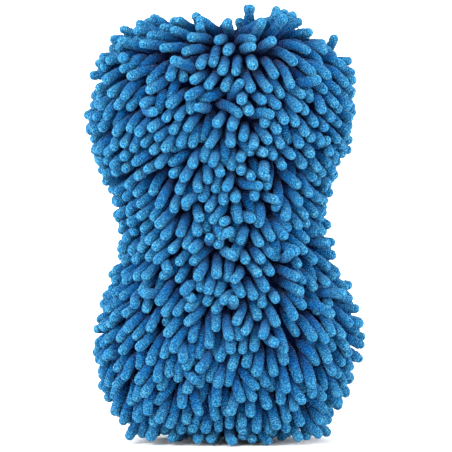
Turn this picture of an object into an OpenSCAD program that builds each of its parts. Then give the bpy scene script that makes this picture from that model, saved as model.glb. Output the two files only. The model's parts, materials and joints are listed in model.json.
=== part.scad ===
// Hourglass wash mitt: a foam block in a chenille cover, with a hand strap over its flat back.
// It stands on the noodles of its lower end. The noodled front faces -Y and the back panel +Y.

/* [Cushion] */
// Width of each lobe, without noodles
lobe_w = 113; // [104:1:120]
// Width of the waist, without noodles
waist_w = 78; // [77:1:86]
// Height of the cushion, without noodles
cushion_h = 203; // [190:1:215]
// Thickness of the cushion, front to back
cushion_t = 50; // [46:1:56]
// Radius of the four corners of the outline
lobe_r = 36; // [32:1:38]
// Radius of the slight crown across each end
end_r = 160; // [130:5:200]
// Radius of the rounded edge round the front face
front_r = 28; // [24:1:28]
// Radius of the rounded edge round the back face
back_r = 8; // [7:0.5:9]

/* [Cloth] */
// Thickness of the cover's cloth
cloth_t = 1.2; // [0.8:0.1:1.6]
// Room between the cloth and the foam, for the knots that hold the noodles
knot_t = 1.4; // [1.4:0.1:2]
// Width of the tape that binds the back seam
binding_w = 6; // [5:0.5:7]
// Thickness of the folded binding tape
binding_t = 1.6; // [1.2:0.1:2]
// Length of one stitch in the binding
stitch_l = 4.2; // [3:0.1:5]

/* [Noodles] */
// Diameter of a chenille noodle
noodle_d = 5.2; // [4.6:0.1:5.2]
// Length of a noodle, from the cloth to its tip
noodle_l = 22; // [18:1:24]
// Longest noodle under the lower end, where they reach the ground
foot_l = 26; // [24:1:28]
// Height of the cushion above the ground, on its lower noodles
stand_off = 17; // [15:1:18]
// Spacing of the noodles along a row
noodle_pitch = 6.8; // [6.7:0.1:7.6]
// Spacing of the rows
row_pitch = 6.5; // [6.4:0.1:6.8]
// How far the noodles lean down, as a share of their length
droop = 0.2; // [0:0.05:0.25]
// How far the front noodles fan out from the middle
fan = 0.5; // [0.3:0.05:0.6]

/* [Hand strap] */
// Width of the elastic strap, along the cushion
strap_w = 50; // [40:1:55]
// Thickness of the elastic
strap_t = 1.8; // [1.4:0.1:2.2]
// Distance between the two sewn tabs
strap_span = 56; // [54:0.5:56]
// Height of the relaxed strap's arch
strap_rise = 16; // [14:1:18]
// Length of each sewn tab
tab_l = 6; // [5:0.5:6]

/* [Loop and label] */
// Width of the hanging loop's tape
loop_w = 9; // [8:0.5:10]
// Thickness of that tape
loop_t = 1.2; // [1:0.1:1.4]
// Length of the loop below its tab
loop_l = 36; // [30:1:42]
// Inner radius of the loop's eye
eye_r = 3.2; // [2.6:0.1:3.4]
// Width of the blank care label
label_w = 24; // [18:1:28]
// Length of the care label
label_l = 36; // [28:1:42]
// Thickness of the folded label
label_t = 0.8; // [0.6:0.1:1]
// Distance of the label's middle line from that of the mitt
label_x = 20; // [19:0.5:22]

/* [Hidden] */
$fn = 48;
noodle_blue = "#2f86c4";
cloth_blue = "#1d5e96";
trim_navy = "#1b3f66";
trim_black = "#26282b";
thread_grey = "#8fa3b5";
label_white = "#f1f1ee";
foam_yellow = "#e9dfae";

// The outline: a wide arc across each end, four corner arcs, and a wide hollow arc at each side of the waist
corner_x = lobe_w / 2 - lobe_r;
end_turn = asin(corner_x / (end_r - lobe_r));
end_z = cushion_h / 2 - end_r;
corner_z = end_z + (end_r - lobe_r) * cos(end_turn);
waist_in = waist_w / 2 - corner_x;
waist_r = (waist_in * waist_in + corner_z * corner_z - lobe_r * lobe_r) / (2 * (lobe_r - waist_in));
waist_x = waist_w / 2 + waist_r;
turn = asin(corner_z / (lobe_r + waist_r));
mid_z = stand_off + cushion_h / 2;

// The section across the cover: back edge, flat side and front edge, from the seam to the front
back_arc = back_r * PI / 2;
side_flat = cushion_t - back_r - front_r;
front_arc = front_r * PI / 2;

// What stands proud of the cushion in front and behind, which puts the origin midway
tab_y = binding_t + 0.05;
back_reach = tab_y + strap_rise + strap_t;
back_y = (cushion_t + noodle_l - back_reach) / 2;
front_y = back_y - cushion_t;

// Rows of noodles
root_depth = 0.8;
first_row = 6;
side_rows = 9;
foot_rows = [2, 3, 4, 5, 6, 7];
foot_share = 0.75;
loop_gap = 10;
front_inset = 22;
front_step = row_pitch * 0.9;
front_half = cushion_h / 2 - front_inset;
front_rows = ceil(front_half / front_step);
gap = 0.3;

// Where the loop and the label bend at their tabs, on the binding at the top of the back
hang_z = mid_z + cushion_h / 2 - back_r - binding_w / 2;
eye_lean = 8;
loop_y = binding_t + eye_r + loop_t + 0.6;
label_y = binding_t + 1.6;

side_names = [for (k = [1 : side_rows]) str("side_noodle_row_", k)];
foot_names = [for (k = foot_rows) str("foot_noodle_row_", k)];
front_names = [for (k = [1 : front_rows]) str("front_noodle_row_", k)];

function radians(a) = a * PI / 180;
function degrees(a) = a * 180 / PI;
function unit(v) = v / norm(v);

// Lengths of the three arcs in a quarter of the outline, drawn in by an inset d
function end_l(d) = (end_r - d) * radians(end_turn);
function corner_l(d) = (lobe_r - d) * radians(90 - end_turn + turn);
function waist_l(d) = (waist_r + d) * radians(turn);
function quarter_l(d) = end_l(d) + corner_l(d) + waist_l(d);

// A point of the top right quarter, s along it from the top, as [x, height, outward x, outward height]
function quarter_at(s, d) =
    s < end_l(d)
    ? let (a = 90 - degrees(s / (end_r - d)))
        [(end_r - d) * cos(a), end_z + (end_r - d) * sin(a), cos(a), sin(a)]
    : s < end_l(d) + corner_l(d)
    ? let (a = 90 - end_turn - degrees((s - end_l(d)) / (lobe_r - d)))
        [corner_x + (lobe_r - d) * cos(a), corner_z + (lobe_r - d) * sin(a), cos(a), sin(a)]
    : let (a = turn - degrees((s - end_l(d) - corner_l(d)) / (waist_r + d)))
        [waist_x - (waist_r + d) * cos(a), (waist_r + d) * sin(a), cos(a), -sin(a)];

// The same for the whole outline, at a share of the way round it, clockwise from the top
function outline_at(share, d) =
    let (
        q = quarter_l(d),
        s = share * 4 * q,
        right = s < 2 * q,
        upper = s < q || s > 3 * q,
        p = quarter_at(s < q ? s : s < 2 * q ? 2 * q - s : s < 3 * q ? s - 2 * q : 4 * q - s, d),
        mx = right ? 1 : -1,
        mz = upper ? 1 : -1
    )
    [p.x * mx, p.y * mz, p[2] * mx, p[3] * mz];

// Where the section is at a length a from the seam, t under its surface: [inset, y, sideways, backwards]
function section_at(a, t = 0) =
    a < back_arc
    ? let (w = degrees(a / back_r))
        [back_r - (back_r - t) * sin(w), back_y - back_r + (back_r - t) * cos(w), sin(w), cos(w)]
    : a < back_arc + side_flat
    ? [t, back_y - back_r - (a - back_arc), 1, 0]
    : let (w = degrees((a - back_arc - side_flat) / front_r))
        [front_r - (front_r - t) * cos(w), front_y + front_r - (front_r - t) * sin(w), cos(w), -sin(w)];

// Distance from a point inside the outline to its nearest edge
function depth_at(x, h) =
    let (
        u = abs(x),
        v = abs(h),
        past = [u - corner_x, v - corner_z],
        way = atan2(past.y, past.x),
        in_corner = way > -turn && way < 90 - end_turn
    )
    min(
        end_r - norm([u, v - end_z]),
        norm([waist_x - u, v]) - waist_r,
        in_corner ? lobe_r - norm(past) : lobe_r + front_r
    );

// Outward direction in the plane of the outline, kept from closing in on itself at the waist
function open_way(p) = unit([p[2], p.y > 0 ? max(p[3], 0) : min(p[3], 0)]);

// A noodle's direction from the cloth's own direction
function lay(x, y, z) = unit([x, y, z - droop]);

// Length that brings the tip of a noodle from height z down to the ground
function ground_l(z, down) = (z - noodle_d / 2) / down + noodle_d / 2;

// The noodles of side row k, each as [root, direction, length, is it one of the foot noodles?]
function side_roots(k) =
    let (
        sec = section_at(first_row + (k - 1) * row_pitch),
        n = 2 * floor(2 * quarter_l(sec[0]) / noodle_pitch)
    )
    [
        for (i = [0 : n - 1])
            let (
                p = outline_at((i + (k % 2) / 2) / n, sec[0]),
                way = open_way(p),
                dir = lay(sec[2] * way.x, sec[3], sec[2] * way.y),
                root = [p.x, sec[1], mid_z + p.y],
                foot = len(search(k, foot_rows)) > 0 && p[3] < -foot_share,
                at_loop = k < 3 && p.y > corner_z && abs(p.x) < loop_gap
            )
            if (!at_loop)
                [root, dir, foot ? min(foot_l, ground_l(root.z, -dir.z)) : noodle_l, foot]
    ];

// Half the width of the front face at a height, drawn in by the front rows' inset
function front_half_w(h) =
    let (v = abs(h), d = front_inset)
    v < (waist_r + d) * sin(turn) ? waist_x - sqrt(pow(waist_r + d, 2) - v * v)
    : v < end_z + (end_r - d) * cos(end_turn) ? corner_x + sqrt(pow(lobe_r - d, 2) - pow(v - corner_z, 2))
    : sqrt(max(pow(end_r - d, 2) - pow(v - end_z, 2), 0));

// One line of front noodles at a height, as [root, direction, length]
function front_line(h, shifted) =
    let (n = floor(front_half_w(h) / noodle_pitch - (shifted ? 0.5 : 0)))
    [
        for (i = [(shifted ? -n - 1 : -n) : n])
            let (
                x = (i + (shifted ? 0.5 : 0)) * noodle_pitch,
                depth = depth_at(x, h),
                d = min(depth, front_r),
                y = front_y + front_r - sqrt(front_r * front_r - pow(front_r - d, 2))
            )
            if (depth > front_inset - gap) [
                [x, y, mid_z + h],
                lay(fan * x / corner_x / 1.6, -1, fan * h / corner_z / 1.6),
                noodle_l
            ]
    ];

// Front row k is a zigzag of two lines, so that each row is sewn down in one pass
function front_roots(k) =
    let (h = front_half - (2 * k - 1.5) * front_step)
    concat(front_line(h + front_step / 2, true), front_line(h - front_step / 2, false));

// Closes the rings of points of an upright form: bands between rings, and a ladder across each end
function band(a, b, n) = [for (i = [0 : n - 1]) let (j = (i + 1) % n) [a + i, a + j, b + j, b + i]];
function ladder(a, n) =
    [for (i = [0 : n / 2 - 1]) [a + i + 1, a + n - i - 1, a + (n - i) % n, a + i]];
function flipped(faces) = [for (f = faces) [f[3], f[2], f[1], f[0]]];

// One ring of the section at length a, t under the surface
function ring_at(a, t, n) =
    let (sec = section_at(a, t))
    [for (i = [0 : n - 1]) let (p = outline_at(i / n, sec[0])) [p.x, sec[1], mid_z + p.y]];

// Lengths along the section at which the rings of a cover stand
function ring_places(from) =
    concat(
        [for (i = [0 : 2]) from + (back_arc - from) * i / 2],
        [for (i = [0 : 5]) back_arc + side_flat + front_arc * i / 5]
    );

// The hourglass outline drawn in by d
module outline(d) {
    n = 144;
    polygon([for (i = [0 : n - 1]) let (p = outline_at(i / n, d)) [p.x, p.y]]);
}

// Stands a flat shape up at the middle height of the cushion, from y0 to y1
module upright(y0, y1) {
    translate([0, y1, mid_z]) rotate([90, 0, 0]) linear_extrude(y1 - y0) children();
}

// A noodle: a round stem with a domed tip, sunk a little into the cloth it is sewn to
module noodle(root, dir, length) {
    r = noodle_d / 2;
    translate(root - root_depth * dir)
        rotate([0, acos(dir.z), atan2(dir.y, dir.x)])
            rotate_extrude($fn = 24) {
                square([r, length + root_depth - r]);
                translate([0, length + root_depth - r]) intersection() {
                    circle(r);
                    square([r, r]);
                }
            }
}

module side_noodle_row(k) {
    color(noodle_blue) for (n = side_roots(k)) if (!n[3]) noodle(n[0], n[1], n[2]);
}

module foot_noodle_row(k) {
    color(noodle_blue) for (n = side_roots(k)) if (n[3]) noodle(n[0], n[1], n[2]);
}

module front_noodle_row(k) {
    color(noodle_blue) for (n = front_roots(k)) noodle(n[0], n[1], n[2]);
}

// Closed-cell foam block that fills the cover
module foam_core() {
    n = 48;
    places = ring_places(0);
    last = len(places) - 1;
    inside = cloth_t + knot_t;
    points = [for (a = places) each ring_at(a, inside, n)];
    faces = concat(
        [for (k = [0 : last - 1]) each band(k * n, (k + 1) * n, n)],
        flipped(ladder(0, n)),
        ladder(last * n, n)
    );
    color(foam_yellow) polyhedron(points, faces);
}

// Chenille base cloth over the front and the sides, open at the back inside the seam
module front_panel() {
    n = 72;
    places = ring_places(0);
    last = len(places) - 1;
    total = (last + 1) * n;
    points = concat(
        [for (a = places) each ring_at(a, 0, n)],
        [for (a = places) each ring_at(a, cloth_t, n)]
    );
    faces = concat(
        [for (k = [0 : last - 1]) each band(k * n, (k + 1) * n, n)],
        ladder(last * n, n),
        [for (k = [0 : last - 1]) each flipped(band(total + k * n, total + (k + 1) * n, n))],
        flipped(ladder(total + last * n, n)),
        band(total, 0, n)
    );
    color(cloth_blue) polyhedron(points, faces);
}

// Plain microfibre panel that closes the back
module back_panel() {
    color(cloth_blue) upright(back_y - cloth_t, back_y) outline(back_r + gap);
}

// Tape that covers the raw edges where the two panels meet
module seam_binding() {
    outer = back_r - binding_w / 2;
    color(trim_navy) upright(back_y + 0.05, back_y + binding_t) difference() {
        outline(outer);
        outline(outer + binding_w);
    }
}

// Lock stitches along the middle of the binding
module seam_thread() {
    n = 2 * floor(2 * quarter_l(back_r) / (1.4 * stitch_l));
    color(thread_grey) for (i = [0 : n - 1]) {
        p = outline_at((i + 0.5) / n, back_r);
        translate([p.x, back_y + binding_t, mid_z + p.y])
            rotate([0, atan2(p[2], p[3]), 0])
                rotate([0, 90, 0])
                    cylinder(d = 0.8, h = stitch_l, center = true, $fn = 16);
    }
}

module strap_tab(side) {
    near = strap_span / 2;
    color(trim_black)
        translate([side * (near + tab_l / 2), back_y + tab_y + strap_t / 2, mid_z])
            cube([tab_l, strap_t, strap_w], center = true);
}

module strap_tab_left() strap_tab(-1);
module strap_tab_right() strap_tab(1);

// Two rows of bar tacks that hold a tab down
module strap_tack(side) {
    near = strap_span / 2;
    tacks = 7;
    step = (strap_w - 6) / (tacks - 1);
    color(thread_grey) for (i = [0 : tacks - 1], row = [0.28, 0.72]) {
        translate([side * (near + tab_l * row), back_y + tab_y + strap_t, mid_z + (i - 3) * step])
            cylinder(d = 0.9, h = 4.6, center = true, $fn = 16);
    }
}

module strap_tack_left() strap_tack(-1);
module strap_tack_right() strap_tack(1);

// A ring sector in the plane of the strap's arch
module sector(r, from, to) {
    far = 2 * r;
    step = (to - from) / 4;
    wedge = concat([[0, 0]], [for (i = [0 : 4]) far * [cos(from + i * step), sin(from + i * step)]]);
    intersection() {
        difference() {
            circle(r + strap_t / 2);
            circle(r - strap_t / 2);
        }
        polygon(wedge);
    }
}

// Elastic strap that holds the hand against the back: an arch whose ends flare out flat
module hand_strap() {
    flare_r = 12;
    half = strap_span / 2 - gap;
    rise = strap_rise;
    arch_r = (half * half + rise * rise) / (2 * rise) - flare_r;
    lean = asin(half / (arch_r + flare_r));
    base = back_y + tab_y + strap_t / 2;
    color(trim_black) translate([0, base, mid_z - strap_w / 2]) linear_extrude(strap_w) {
        translate([0, rise - arch_r]) sector(arch_r, 90 - lean, 90 + lean);
        for (side = [0, 1]) mirror([side, 0]) {
            translate([half, flare_r]) sector(flare_r, 270 - lean, 270);
        }
    }
}

// Sewn end of the loop's tape, which leaves the binding at the top of the back
module hang_loop_tab() {
    color(trim_black) translate([-loop_w / 2, back_y + binding_t + 0.05, hang_z - loop_t]) {
        cube([loop_w, loop_y - binding_t - 0.05 - loop_t - gap, 2 * loop_t]);
    }
}

// Outline of a hanging tape: an arc of radius r round its eye, and one of radius top_r at a height above
function drop_line(r, top_r, top) =
    concat(
        [for (i = [0 : 28]) let (a = 180 - eye_lean + (180 + 2 * eye_lean) * i / 28) r * [cos(a), sin(a)]],
        [
            for (i = [0 : 10])
                let (a = eye_lean + (180 - 2 * eye_lean) * i / 10)
                [top_r * cos(a), top + top_r * sin(a)]
        ]
    );

// Folded tape with an eye at its lower end. Its upper end is round, where it bends at the tab.
module hang_loop() {
    drop = loop_l - eye_r - loop_t;
    slit = drop - 6;
    slit_r = 0.1;
    fold_r = 0.8 * loop_t;
    color(trim_black) translate([-loop_w / 2, back_y + loop_y, hang_z - drop])
        rotate([90, 0, 90]) linear_extrude(loop_w) {
            difference() {
                polygon(drop_line(eye_r + loop_t, fold_r, drop));
                polygon(drop_line(eye_r, slit_r, slit));
            }
            translate([0, drop]) circle(loop_t);
        }
}

// Sewn end of the care label
module care_label_tab() {
    color(label_white) translate([label_x - label_w / 2, back_y + binding_t + 0.05, hang_z - label_t]) {
        cube([label_w, label_y - binding_t - 0.05 - label_t / 2 - gap, 2 * label_t]);
    }
}

// Blank folded satin label, round at its upper edge, where it bends at the tab
module care_label() {
    r = label_t / 2;
    color(label_white) translate([label_x - label_w / 2, back_y + label_y, hang_z]) {
        rotate([0, 90, 0]) cylinder(r = r, h = label_w);
        translate([0, -r, -label_l]) cube([label_w, label_t, label_l]);
    }
}

foam_core();
front_panel();
back_panel();
seam_binding();
seam_thread();
strap_tab_left();
strap_tab_right();
strap_tack_left();
strap_tack_right();
hand_strap();
hang_loop_tab();
hang_loop();
care_label_tab();
care_label();
for (k = [1 : side_rows]) side_noodle_row(k);
for (k = [0 : len(foot_rows) - 1]) foot_noodle_row(foot_rows[k]);
for (k = [1 : front_rows]) front_noodle_row(k);
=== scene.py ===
"""An hourglass wash mitt: chenille noodles over a foam block, with a bound back panel and a hand strap."""

import json
import math

import bmesh
import bpy
import numpy as np
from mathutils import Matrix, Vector
from mathutils.bvhtree import BVHTree


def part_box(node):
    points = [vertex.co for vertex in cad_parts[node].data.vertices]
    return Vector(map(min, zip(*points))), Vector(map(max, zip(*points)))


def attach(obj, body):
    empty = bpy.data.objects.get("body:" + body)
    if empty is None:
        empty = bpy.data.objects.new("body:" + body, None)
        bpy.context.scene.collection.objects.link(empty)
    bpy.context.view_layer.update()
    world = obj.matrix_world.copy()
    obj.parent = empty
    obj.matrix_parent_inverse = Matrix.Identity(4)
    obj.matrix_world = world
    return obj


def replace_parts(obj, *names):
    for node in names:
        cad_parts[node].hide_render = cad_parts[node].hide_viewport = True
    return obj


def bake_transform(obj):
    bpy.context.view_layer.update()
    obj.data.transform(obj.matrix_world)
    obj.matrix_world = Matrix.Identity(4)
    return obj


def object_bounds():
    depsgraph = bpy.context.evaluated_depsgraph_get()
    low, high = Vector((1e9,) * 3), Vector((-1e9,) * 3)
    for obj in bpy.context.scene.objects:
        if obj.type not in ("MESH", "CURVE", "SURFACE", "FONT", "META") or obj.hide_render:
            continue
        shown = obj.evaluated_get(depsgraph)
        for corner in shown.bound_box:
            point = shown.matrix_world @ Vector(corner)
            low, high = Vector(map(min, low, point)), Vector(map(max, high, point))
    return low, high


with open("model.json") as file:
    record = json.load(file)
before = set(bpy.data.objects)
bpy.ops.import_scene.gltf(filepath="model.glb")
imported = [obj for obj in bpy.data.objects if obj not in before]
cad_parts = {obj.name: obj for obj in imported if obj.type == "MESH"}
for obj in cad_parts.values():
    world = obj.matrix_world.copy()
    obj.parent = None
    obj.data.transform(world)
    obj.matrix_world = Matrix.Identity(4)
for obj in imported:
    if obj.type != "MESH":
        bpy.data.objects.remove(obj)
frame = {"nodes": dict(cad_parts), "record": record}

cad_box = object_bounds()
MM = 0.001
NODES = frame["nodes"]
SCENE = bpy.context.scene

# Chenille noodles: radius, links of the chain that settles, rings and sides of the mesh, and depths as a share of the
# radius
NOODLE_R = 2.74 * MM
NOODLE_LINKS = 8
NOODLE_RINGS = 30
NOODLE_SIDES = 14
DOME_RINGS = 6
RIB_DEPTH = 0.05
LUMP_DEPTH = 0.08
CURLED_SHARE = 0.06
SEED = 20

# Settling: steps, the last of them with little stiffness, and how often neighbours and the cushion are looked up
SETTLE_STEPS = 140
SOFT_STEPS = 50
NEIGHBOUR_STEPS = 6
CUSHION_STEPS = 10

# Scale of a wave texture whose bands are 1 apart
WAVE_SCALE = 0.314

# CAD points that agree to this many millimetres are one point
WELD_MM = 0.002

# The waffle cloth's cell, the points round the binding, and the pitch of the elastic's cords and points across it
WAFFLE_CELL = 4.4 * MM
BINDING_POINTS = 1700
ELASTIC_PITCH = 1.85 * MM
ELASTIC_COLUMNS = 170


def vertices_of(obj):
    co = np.empty(len(obj.data.vertices) * 3)
    obj.data.vertices.foreach_get("co", co)
    return co.reshape(-1, 3)


def unit(v):
    return v / np.maximum(np.linalg.norm(v, axis=-1, keepdims=True), 1e-12)


def smooth(t):
    t = np.clip(t, 0, 1)
    return t * t * (3 - 2 * t)


# ---------------------------------------------------------------- mesh helpers


def mesh_from(name, points, quads, triangles=(), attributes=None, uv=None):
    """A smooth-shaded object from numpy arrays, with per-vertex float attributes and one UV pair per vertex."""
    points = np.asarray(points, np.float32)
    quads = np.asarray(quads, np.int32).reshape(-1, 4)
    triangles = np.asarray(triangles, np.int32).reshape(-1, 3)
    corners = np.concatenate([quads.ravel(), triangles.ravel()])
    sizes = np.concatenate([np.full(len(quads), 4), np.full(len(triangles), 3)])
    me = bpy.data.meshes.new(name)
    me.vertices.add(len(points))
    me.vertices.foreach_set("co", points.ravel())
    me.loops.add(len(corners))
    me.loops.foreach_set("vertex_index", corners)
    me.polygons.add(len(sizes))
    me.polygons.foreach_set("loop_start", np.concatenate([[0], np.cumsum(sizes)[:-1]]).astype(np.int32))
    me.polygons.foreach_set("use_smooth", np.ones(len(sizes), bool))
    if uv is not None:
        layer = me.uv_layers.new(name="weave")
        layer.data.foreach_set("uv", np.asarray(uv, np.float32)[corners].ravel())
    for key, values in (attributes or {}).items():
        me.attributes.new(key, "FLOAT", "POINT").data.foreach_set("value", np.asarray(values, np.float32))
    me.update(calc_edges=True)
    me.validate()
    obj = bpy.data.objects.new(name, me)
    SCENE.collection.objects.link(obj)
    return obj


# ---------------------------------------------------------------- materials


class Material:
    """A node material on one Principled shader, with short calls for the nodes that the looks need."""

    def __init__(self, name):
        self.mat = bpy.data.materials.new(name)
        self.mat.use_nodes = True
        self.tree = self.mat.node_tree
        self.shader = self.tree.nodes["Principled BSDF"]

    def set(self, **values):
        for key, value in values.items():
            self.shader.inputs[key.replace("_", " ")].default_value = value

    def node(self, kind, **settings):
        n = self.tree.nodes.new(kind)
        for key, value in settings.items():
            if hasattr(n, key):
                setattr(n, key, value)
            else:
                n.inputs[key.replace("_", " ")].default_value = value
        return n

    def link(self, source, target):
        self.tree.links.new(source, target)

    def attribute(self, name):
        return self.node("ShaderNodeAttribute", attribute_name=name).outputs["Fac"]

    def math(self, operation, a, b):
        n = self.node("ShaderNodeMath", operation=operation)
        for socket, value in zip(n.inputs, (a, b)):
            if isinstance(value, (int, float)):
                socket.default_value = value
            else:
                self.link(value, socket)
        return n.outputs[0]

    def ramp(self, factor, stops):
        n = self.node("ShaderNodeValToRGB")
        elements = n.color_ramp.elements
        while len(elements) < len(stops):
            elements.new(0.5)
        for element, (at, colour) in zip(elements, stops):
            element.position = at
            element.color = (*colour, 1)
        self.link(factor, n.inputs[0])
        return n.outputs[0]

    def noise(self, scale, detail=2.0):
        n = self.node("ShaderNodeTexNoise", Scale=scale, Detail=detail)
        self.link(self.node("ShaderNodeTexCoord").outputs["Object"], n.inputs["Vector"])
        return n.outputs["Fac"]

    def mix(self, factor, a, b, blend="MIX"):
        n = self.node("ShaderNodeMix", data_type="RGBA", blend_type=blend)
        for socket, value in zip((n.inputs[0], n.inputs[6], n.inputs[7]), (factor, a, b)):
            if isinstance(value, (int, float)):
                socket.default_value = value
            elif isinstance(value, tuple):
                socket.default_value = (*value, 1)
            else:
                self.link(value, socket)
        return n.outputs[2]

    def bump(self, height, strength, distance):
        n = self.node("ShaderNodeBump", Strength=strength, Distance=distance)
        self.link(height, n.inputs["Height"])
        previous = self.shader.inputs["Normal"].links
        if previous:
            self.link(previous[0].from_socket, n.inputs["Normal"])
        self.link(n.outputs["Normal"], self.shader.inputs["Normal"])

    def colour(self, socket):
        self.link(socket, self.shader.inputs["Base Color"])


def srgb(*levels):
    """Linear colour of an sRGB colour given in 0 to 255."""
    return tuple(((v / 255 + 0.055) / 1.055) ** 2.4 if v > 10 else v / 255 / 12.92 for v in levels)


def chenille_material():
    """Short blue pile: painted shade between the noodles, darkest at their roots, and painted light towards their
    tips, with fine cross ribs and grain.
    """
    m = Material("chenille")
    along, tone = m.attribute("along"), m.attribute("tone")
    # Colour along each noodle: painted shade, darkest at the root between the noodles, rising to painted light at the
    # tip
    root, low, high, tip = srgb(0, 18, 68), srgb(0, 39, 105), srgb(1, 104, 165), srgb(56, 142, 185)
    body = m.ramp(along, [(0.0, root), (0.34, low), (0.62, high), (0.92, tip)])
    # Each noodle's own random tone, laid softly over the painted shade and light
    shade = m.mix(0.85, body, m.mix(tone, srgb(108, 126, 134), srgb(146, 142, 138)), "SOFT_LIGHT")
    # Random grain of paler and darker fibres, whose brightest specks are painted glints
    grain = m.noise(1150, 3.0)
    fibres = m.ramp(grain, [(0.34, (0.04, 0.26, 0.47)), (0.5, (0.42, 0.9, 0.97)), (0.66, (4.8, 1.98, 1.22))])
    mottled = m.mix(0.9, shade, fibres, "MULTIPLY")
    uv = m.node("ShaderNodeUVMap", uv_map="weave").outputs["UV"]
    rib = m.node("ShaderNodeTexWave", wave_type="BANDS", bands_direction="Y", Scale=0.27, Distortion=3.0)
    m.link(uv, rib.inputs["Vector"])
    rib.inputs["Detail Scale"].default_value = 1.6
    # Painted shade in the grooves between the ribs, weaker near the tip
    lines = m.ramp(rib.outputs["Fac"], [(0.0, (0.45, 0.56, 0.66)), (0.5, (1.0, 1.0, 1.0))])
    fade = m.ramp(along, [(0.82, (0.9, 0.9, 0.9)), (0.95, (0.25, 0.25, 0.25))])
    m.colour(m.mix(fade, mottled, lines, "MULTIPLY"))
    m.set(Roughness=0.95, Specular_IOR_Level=0.08, Sheen_Weight=0.16, Sheen_Roughness=0.4)
    m.set(Sheen_Tint=(*srgb(176, 216, 244), 1))
    m.bump(rib.outputs["Fac"], 0.9, 0.5 * MM)
    m.bump(m.noise(1900, 3.0), 1.0, 0.45 * MM)
    return m.mat


def base_cloth_material():
    """Knitted ground of the chenille, painted almost black with the shade that falls between the noodles."""
    m = Material("base_cloth")
    knit = m.noise(1200, 2.0)
    # Painted shade: the ground is coloured almost black for the shade between the noodles, with a random knit tone
    m.colour(m.ramp(knit, [(0.35, srgb(2, 16, 50)), (0.65, srgb(5, 34, 82))]))
    m.set(Roughness=0.95, Specular_IOR_Level=0.1)
    m.bump(knit, 0.6, 0.4 * MM)
    return m.mat


def back_cloth_material():
    """Waffle-woven microfibre, with painted shade in the hollows of its weave and painted light on its raised
    threads.
    """
    m = Material("back_cloth")
    fluff = m.noise(1000, 4.0)
    # Painted shade in the hollows and painted light on the ridges, by the height of the weave
    hollow, thread, ridge = srgb(6, 40, 84), srgb(20, 76, 128), srgb(36, 102, 154)
    body = m.ramp(m.attribute("raised"), [(0.05, hollow), (0.5, thread), (0.95, ridge)])
    grain = m.ramp(fluff, [(0.34, (0.4, 0.5, 0.6)), (0.52, (0.95, 0.97, 0.98)), (0.68, (2.1, 1.6, 1.3))])
    worn = m.ramp(m.noise(26, 2.0), [(0.35, (0.88, 0.9, 0.93)), (0.65, (1.06, 1.05, 1.04))])
    m.colour(m.mix(1.0, m.mix(0.8, body, grain, "MULTIPLY"), worn, "MULTIPLY"))
    m.set(Roughness=0.9, Specular_IOR_Level=0.12, Sheen_Weight=0.3, Sheen_Roughness=0.4)
    m.set(Sheen_Tint=(*srgb(150, 205, 240), 1))
    m.bump(fluff, 0.8, 0.3 * MM)
    return m.mat


def woven_material(name, dark, light, pitch, sheen, rough=0.8, cord=None):
    """A woven tape: yarns along and across it at a pitch in mm, painted lighter where they cross and painted darker
    between them as shade, a few paler fibres and, if it has them, cords.
    """
    m = Material(name)
    uv = m.node("ShaderNodeUVMap", uv_map="weave").outputs["UV"]
    yarns = []
    for direction in ("X", "Y"):
        wave = m.node("ShaderNodeTexWave", wave_type="BANDS", bands_direction=direction, Distortion=0.6)
        wave.inputs["Scale"].default_value = WAVE_SCALE / pitch
        m.link(uv, wave.inputs["Vector"])
        yarns.append(wave.outputs["Fac"])
    # Painted light where the yarns cross on top and painted shade between them
    weave = m.math("MULTIPLY", yarns[0], yarns[1])
    fibre = m.noise(2600, 3.0)
    tone = m.math("ADD", m.math("MULTIPLY", weave, 0.55), m.math("MULTIPLY", fibre, 0.5))
    if cord:
        # Painted light on the cords' tops and painted shade between them
        ridge = m.node("ShaderNodeTexWave", wave_type="BANDS", bands_direction="Y", Scale=WAVE_SCALE / cord)
        ridge.inputs["Phase Offset"].default_value = math.pi
        m.link(uv, ridge.inputs["Vector"])
        tone = m.math("ADD", m.math("MULTIPLY", tone, 0.6), m.math("MULTIPLY", ridge.outputs["Fac"], 0.36))
    patches = m.ramp(m.noise(60, 2.0), [(0.3, (0.8, 0.8, 0.82)), (0.7, (1.15, 1.14, 1.12))])
    m.colour(m.mix(1.0, m.ramp(tone, [(0.15, dark), (0.75, light)]), patches, "MULTIPLY"))
    m.set(Roughness=rough, Specular_IOR_Level=0.25, Sheen_Weight=sheen, Sheen_Roughness=0.45)
    m.bump(weave, 0.7, 0.25 * MM)
    m.bump(fibre, 0.4, 0.1 * MM)
    return m.mat


def thread_material():
    """Twisted polyester thread with a soft shine."""
    m = Material("thread")
    fibre = m.noise(3200, 2.0)
    m.colour(m.ramp(fibre, [(0.3, srgb(104, 124, 148)), (0.7, srgb(186, 202, 218))]))
    m.set(Roughness=0.5, Specular_IOR_Level=0.4, Sheen_Weight=0.2)
    m.bump(fibre, 0.5, 0.1 * MM)
    return m.mat


def satin_material():
    """Off-white label satin: fine warp floats with a soft shine, and a faint unevenness."""
    m = Material("label_satin")
    uv = m.node("ShaderNodeUVMap", uv_map="weave").outputs["UV"]
    warp = m.node("ShaderNodeTexWave", wave_type="BANDS", bands_direction="Y", Scale=0.9, Distortion=1.2)
    m.link(uv, warp.inputs["Vector"])
    cloud = m.noise(90, 3.0)
    # Warp floats with painted light on their crests and painted shade between them
    floats = m.ramp(warp.outputs["Fac"], [(0.2, srgb(122, 122, 119)), (0.8, srgb(158, 158, 155))])
    uneven = m.ramp(cloud, [(0.3, srgb(132, 132, 129)), (0.7, srgb(162, 162, 159))])
    m.colour(m.mix(0.5, floats, uneven))
    m.set(Roughness=0.34, Specular_IOR_Level=0.55, Sheen_Weight=0.15)
    m.bump(warp.outputs["Fac"], 0.35, 0.08 * MM)
    return m.mat


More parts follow.
